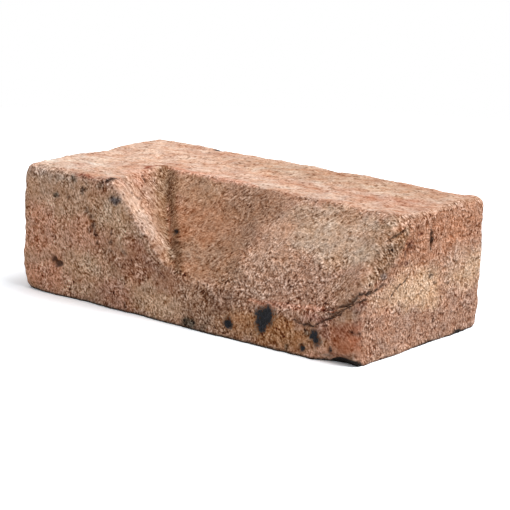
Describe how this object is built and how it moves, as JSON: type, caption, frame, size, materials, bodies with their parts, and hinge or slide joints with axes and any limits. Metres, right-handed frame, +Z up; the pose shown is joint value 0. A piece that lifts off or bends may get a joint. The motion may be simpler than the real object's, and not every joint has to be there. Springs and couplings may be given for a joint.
{
  "type": "clay brick",
  "caption": "Solid handmade clay brick with worn arrises and one long face slumped back in a folded hollow, for laying in masonry.",
  "frame": {"origin": "middle of the bottom bed, on the surface that the brick lies on", "axes": "+X along the length, to the right as the slumped face is looked at; +Y towards the back; +Z up"},
  "size_m": [0.215, 0.1024, 0.065],
  "materials": {
    "fired_clay": "rough sanded fired clay"
  },
  "bodies": {
    "root": {"brick": "fired_clay"}
  },
  "joints": []
}
